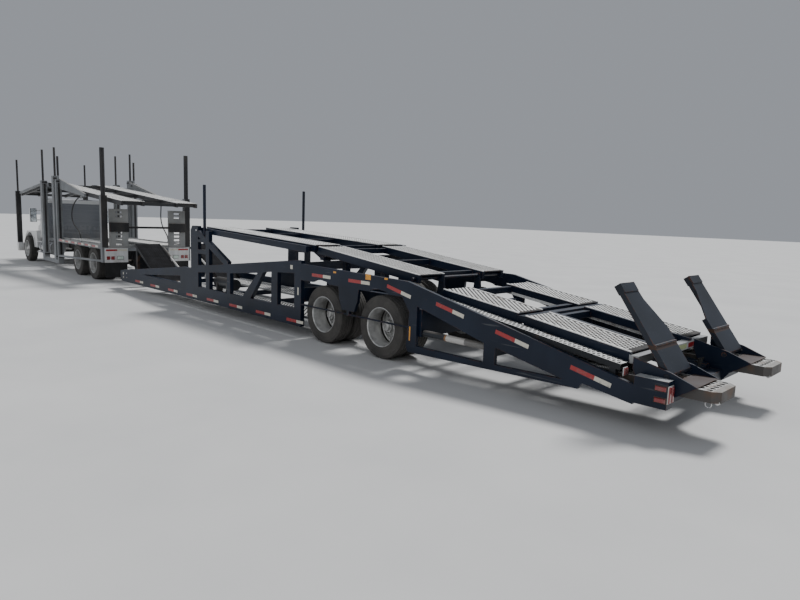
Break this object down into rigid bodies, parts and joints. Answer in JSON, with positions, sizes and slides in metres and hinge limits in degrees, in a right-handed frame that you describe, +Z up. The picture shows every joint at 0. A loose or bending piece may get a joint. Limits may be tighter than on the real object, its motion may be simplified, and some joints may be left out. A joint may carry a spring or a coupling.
{
  "type": "car transporter truck",
  "caption": "Day-cab truck with an overhead car rack, coupled by a low stinger hitch to a two-axle low semi-trailer with hinged loading decks, side trusses, flippers and slide-out skids.",
  "frame": {"origin": "on the ground, at the middle of the rig's length and width", "axes": "+X forward along the rig, +Y to its left, +Z up"},
  "size_m": [25.7, 2.8, 4],
  "materials": {
    "tyre": "dusty black rubber",
    "rim": "dull steel with dust",
    "chassis": "dark grey chassis paint",
    "axle": "dark forged steel",
    "engine": "cast iron",
    "cab_paint": "white gloss paint",
    "dark_trim": "black plastic",
    "seat": "grey cloth",
    "glass": "tinted safety glass",
    "tank": "bare aluminium",
    "rack": "grey paint and galvanising",
    "deck": "galvanised steel, scuffed",
    "panel": "white painted sheet",
    "flap": "black rubber",
    "trailer_paint": "dark navy paint, scratched",
    "lamp_box": "dark painted steel",
    "lamp": "clear lamp lens",
    "hose": "black rubber hose"
  },
  "bodies": {
    "truck": {"chassis_frame": "chassis", "drive_axles": "axle", "front_axle": "axle", "engine": "engine", "cab_shell": "cab_paint", "seats": "seat", "dashboard": "dark_trim", "cab_glass": "glass", "bumper": "cab_paint", "side_tanks": "tank", "rack_posts": "rack", "lower_deck": "deck", "tail_panels": "panel", "mudflaps": "flap", "hose_left": "hose", "hose_right": "hose"},
    "hood": {"hood": "cab_paint", "grille": "dark_trim", "headlamps": "lamp"},
    "overhead_front": {"overhead_front": "rack"},
    "overhead_rear": {"overhead_rear": "rack"},
    "bridge_ramps": {"bridge_ramps": "rack"},
    "trailer": {"centre_frame": "trailer_paint", "forward_frames": "trailer_paint", "tail_frames": "trailer_paint", "well_floor": "deck", "trailer_axles": "axle", "rear_deck": "trailer_paint", "catwalks": "deck", "trailer_cylinders": "tank"},
    "front_deck": {"front_deck": "trailer_paint"},
    "middle_deck": {"middle_deck": "trailer_paint"},
    "door_left": {"door_left": "cab_paint"},
    "knuckle_left": {"knuckle_left": "axle"},
    "wheel_steer_left": {"tyres_steer_left": "tyre", "rim_steer_left": "rim"},
    "wheel_drive_front_left": {"tyres_drive_front_left": "tyre", "rim_drive_front_left": "rim"},
    "wheel_drive_rear_left": {"tyres_drive_rear_left": "tyre", "rim_drive_rear_left": "rim"},
    "wheel_trailer_front_left": {"tyres_trailer_front_left": "tyre", "rim_trailer_front_left": "rim"},
    "wheel_trailer_rear_left": {"tyres_trailer_rear_left": "tyre", "rim_trailer_rear_left": "rim"},
    "flipper_left": {"flipper_left": "trailer_paint"},
    "skid_left": {"skid_left": "deck"},
    "door_right": {"door_right": "cab_paint"},
    "knuckle_right": {"knuckle_right": "axle"},
    "wheel_steer_right": {"tyres_steer_right": "tyre", "rim_steer_right": "rim"},
    "wheel_drive_front_right": {"tyres_drive_front_right": "tyre", "rim_drive_front_right": "rim"},
    "wheel_drive_rear_right": {"tyres_drive_rear_right": "tyre", "rim_drive_rear_right": "rim"},
    "wheel_trailer_front_right": {"tyres_trailer_front_right": "tyre", "rim_trailer_front_right": "rim"},
    "wheel_trailer_rear_right": {"tyres_trailer_rear_right": "tyre", "rim_trailer_rear_right": "rim"},
    "flipper_right": {"flipper_right": "trailer_paint"},
    "skid_right": {"skid_right": "deck"}
  },
  "joints": [
    {"name": "articulation", "type": "hinge", "parent": "truck", "child": "trailer", "pos_m": [2.55, 0, 0.44], "axis": [0, 0, 1], "range_deg": [-45, 45]},
    {"name": "hood_tilt", "type": "hinge", "parent": "truck", "child": "hood", "pos_m": [12.35, 0, 0.65], "axis": [0, 1, 0], "range_deg": [0, 28]},
    {"name": "overhead_front_lift", "type": "hinge", "parent": "truck", "child": "overhead_front", "pos_m": [9.463, 0, 2.8264], "axis": [0, -1, 0], "range_deg": [0, 10]},
    {"name": "overhead_rear_lift", "type": "hinge", "parent": "truck", "child": "overhead_rear", "pos_m": [8.9363, 0, 2.817], "axis": [0, 1, 0], "range_deg": [0, 5]},
    {"name": "bridge_fold", "type": "hinge", "parent": "truck", "child": "bridge_ramps", "pos_m": [3.345, 0, 1], "axis": [0, -1, 0], "range_deg": [0, 88]},
    {"name": "front_deck_lift", "type": "hinge", "parent": "trailer", "child": "front_deck", "pos_m": [-2.3468, 0, 1.6999], "axis": [0, 1, 0], "range_deg": [0, 8]},
    {"name": "middle_deck_lift", "type": "hinge", "parent": "trailer", "child": "middle_deck", "pos_m": [-8.6229, 0, 1.2412], "axis": [0, -1, 0], "range_deg": [0, 12]},
    {"name": "door_left_open", "type": "hinge", "parent": "truck", "child": "door_left", "pos_m": [10.556, 1.004, 1], "axis": [0, 0, -1], "range_deg": [0, 65]},
    {"name": "steer_left", "type": "hinge", "parent": "truck", "child": "knuckle_left", "pos_m": [11.65, 0.9, 0.48], "axis": [0, 0, 1], "range_deg": [-32, 32]},
    {"name": "spin_steer_left", "type": "hinge", "parent": "knuckle_left", "child": "wheel_steer_left", "pos_m": [11.65, 0, 0.48], "axis": [0, 1, 0], "continuous": true},
    {"name": "spin_drive_front_left", "type": "hinge", "parent": "truck", "child": "wheel_drive_front_left", "pos_m": [5.75, 0, 0.48], "axis": [0, 1, 0], "continuous": true},
    {"name": "spin_drive_rear_left", "type": "hinge", "parent": "truck", "child": "wheel_drive_rear_left", "pos_m": [4.35, 0, 0.48], "axis": [0, 1, 0], "continuous": true},
    {"name": "spin_trailer_front_left", "type": "hinge", "parent": "trailer", "child": "wheel_trailer_front_left", "pos_m": [-6.75, 0, 0.48], "axis": [0, 1, 0], "continuous": true},
    {"name": "spin_trailer_rear_left", "type": "hinge", "parent": "trailer", "child": "wheel_trailer_rear_left", "pos_m": [-8.15, 0, 0.48], "axis": [0, 1, 0], "continuous": true},
    {"name": "flipper_left_fold", "type": "hinge", "parent": "trailer", "child": "flipper_left", "pos_m": [-12.35, 0.846, 0.61], "axis": [0, -1, 0], "range_deg": [-30, 118]},
    {"name": "skid_left_slide", "type": "slide", "parent": "trailer", "child": "skid_left", "axis": [-1, 0, 0], "range_m": [-0.3, 0.9]},
    {"name": "door_right_open", "type": "hinge", "parent": "truck", "child": "door_right", "pos_m": [10.556, -1.004, 1], "axis": [0, 0, 1], "range_deg": [0, 65]},
    {"name": "steer_right", "type": "hinge", "parent": "truck", "child": "knuckle_right", "pos_m": [11.65, -0.9, 0.48], "axis": [0, 0, 1], "range_deg": [-32, 32]},
    {"name": "spin_steer_right", "type": "hinge", "parent": "knuckle_right", "child": "wheel_steer_right", "pos_m": [11.65, 0, 0.48], "axis": [0, 1, 0], "continuous": true},
    {"name": "spin_drive_front_right", "type": "hinge", "parent": "truck", "child": "wheel_drive_front_right", "pos_m": [5.75, 0, 0.48], "axis": [0, 1, 0], "continuous": true},
    {"name": "spin_drive_rear_right", "type": "hinge", "parent": "truck", "child": "wheel_drive_rear_right", "pos_m": [4.35, 0, 0.48], "axis": [0, 1, 0], "continuous": true},
    {"name": "spin_trailer_front_right", "type": "hinge", "parent": "trailer", "child": "wheel_trailer_front_right", "pos_m": [-6.75, 0, 0.48], "axis": [0, 1, 0], "continuous": true},
    {"name": "spin_trailer_rear_right", "type": "hinge", "parent": "trailer", "child": "wheel_trailer_rear_right", "pos_m": [-8.15, 0, 0.48], "axis": [0, 1, 0], "continuous": true},
    {"name": "flipper_right_fold", "type": "hinge", "parent": "trailer", "child": "flipper_right", "pos_m": [-12.35, -0.846, 0.61], "axis": [0, -1, 0], "range_deg": [-30, 118]},
    {"name": "skid_right_slide", "type": "slide", "parent": "trailer", "child": "skid_right", "axis": [-1, 0, 0], "range_m": [-0.3, 0.9]}
  ],
  "couplings": [
    {"joint": "steer_right", "follows": "steer_left", "ratio": 1}
  ]
}
